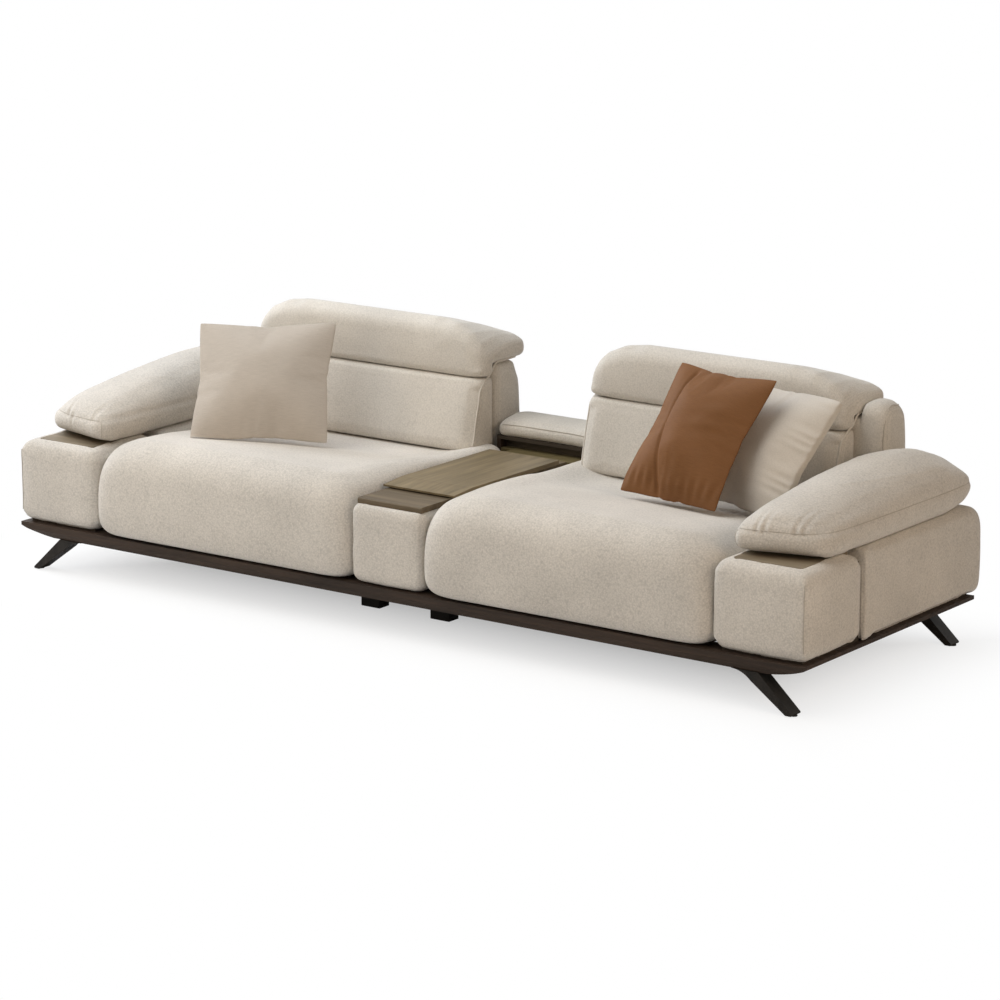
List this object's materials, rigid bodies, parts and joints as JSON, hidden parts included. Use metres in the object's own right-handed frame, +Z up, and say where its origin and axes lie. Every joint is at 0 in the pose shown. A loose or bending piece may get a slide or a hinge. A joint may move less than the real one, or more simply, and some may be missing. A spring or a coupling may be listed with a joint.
{
  "type": "sofa",
  "caption": "Long low sofa: wide padded seats beside a console table, rolled backs that slide on rods, boxed arm cushions and a timber platform on splayed legs.",
  "frame": {"origin": "on the floor, under the middle of the sofa's outline, backs at rest", "axes": "+X along the sofa to the viewer's right when facing its front, -Y out of the front, +Z up"},
  "size_m": [3.016, 1.069, 0.8314],
  "materials": {
    "black_brown_wood": "near-black stain, satin",
    "brown_satin": "smooth brown cloth with a soft sheen",
    "dark_walnut": "dark stained, satin",
    "frame_timber": "plain sawn",
    "glide_plastic": "matt",
    "grey_brown_panel": "matt grey-brown",
    "linen_beige": "linen weave",
    "oatmeal_fabric": "nubby woven upholstery",
    "off_white_fabric": "soft brushed cloth",
    "olive_wood": "olive-brown stain, satin",
    "plywood": "plain",
    "steel": "bright",
    "taupe_walnut": "grey-brown stain, satin",
    "webbing": "elastic webbing"
  },
  "bodies": {
    "body": {"arm_cushion_left": "oatmeal_fabric", "arm_cushion_right": "oatmeal_fabric", "back_shell_left": "oatmeal_fabric", "back_shell_right": "oatmeal_fabric", "base_cross_rails": "dark_walnut", "base_end_rail_left": "dark_walnut", "base_end_rail_right": "dark_walnut", "base_front_rail": "dark_walnut", "base_rear_rail": "dark_walnut", "centre_feet": "black_brown_wood", "console_block": "oatmeal_fabric", "console_carcass": "frame_timber", "console_tray": "taupe_walnut", "end_block_left": "oatmeal_fabric", "end_block_right": "oatmeal_fabric", "end_tray_left": "taupe_walnut", "end_tray_right": "taupe_walnut", "floor_glides": "glide_plastic", "foot_boards": "dark_walnut", "frame_bolts": "steel", "guide_sleeves": "steel", "leg_front_left": "black_brown_wood", "leg_front_right": "black_brown_wood", "leg_plates": "steel", "leg_rear_left": "black_brown_wood", "leg_rear_right": "black_brown_wood", "leg_screws": "steel", "niche_back_panel": "grey_brown_panel", "niche_ledge": "olive_wood", "niche_side_panels": "dark_walnut", "pad_board": "plywood", "rear_pad": "oatmeal_fabric", "seat_cushion_left": "oatmeal_fabric", "seat_cushion_right": "oatmeal_fabric", "seat_frame_left": "frame_timber", "seat_frame_right": "frame_timber", "seat_webbing_left": "webbing", "seat_webbing_right": "webbing", "shell_frame_left": "frame_timber", "shell_frame_right": "frame_timber", "side_body_left": "oatmeal_fabric", "side_body_right": "oatmeal_fabric", "side_frame_left": "frame_timber", "side_frame_right": "frame_timber", "slab_spacers": "taupe_walnut", "table_slab": "taupe_walnut"},
    "back_left": {"back_board_left": "plywood", "back_lower_left": "oatmeal_fabric", "back_upper_left": "oatmeal_fabric", "guide_rods_left": "steel"},
    "back_right": {"back_board_right": "plywood", "back_lower_right": "oatmeal_fabric", "back_upper_right": "oatmeal_fabric", "guide_rods_right": "steel"},
    "cushion_beige": {"scatter_cushion_beige": "linen_beige"},
    "cushion_brown": {"scatter_cushion_brown": "brown_satin"},
    "cushion_cream": {"scatter_cushion_cream": "off_white_fabric"}
  },
  "joints": [
    {"name": "back_left_slide", "type": "slide", "parent": "body", "child": "back_left", "axis": [0, -0.9921, 0.1254], "range_m": [0, 0.09]},
    {"name": "back_right_slide", "type": "slide", "parent": "body", "child": "back_right", "axis": [0, -0.9921, 0.1254], "range_m": [0, 0.09]},
    {"name": "cushion_beige_lift", "type": "slide", "parent": "back_left", "child": "cushion_beige", "axis": [0.3614, -0.6855, 0.632], "range_m": [0, 0.3]},
    {"name": "cushion_brown_lift", "type": "slide", "parent": "cushion_cream", "child": "cushion_brown", "axis": [-0.1594, -0.7695, 0.6184], "range_m": [0, 0.3]},
    {"name": "cushion_cream_lift", "type": "slide", "parent": "back_right", "child": "cushion_cream", "axis": [-0.1459, -0.803, 0.5779], "range_m": [0, 0.3]}
  ]
}
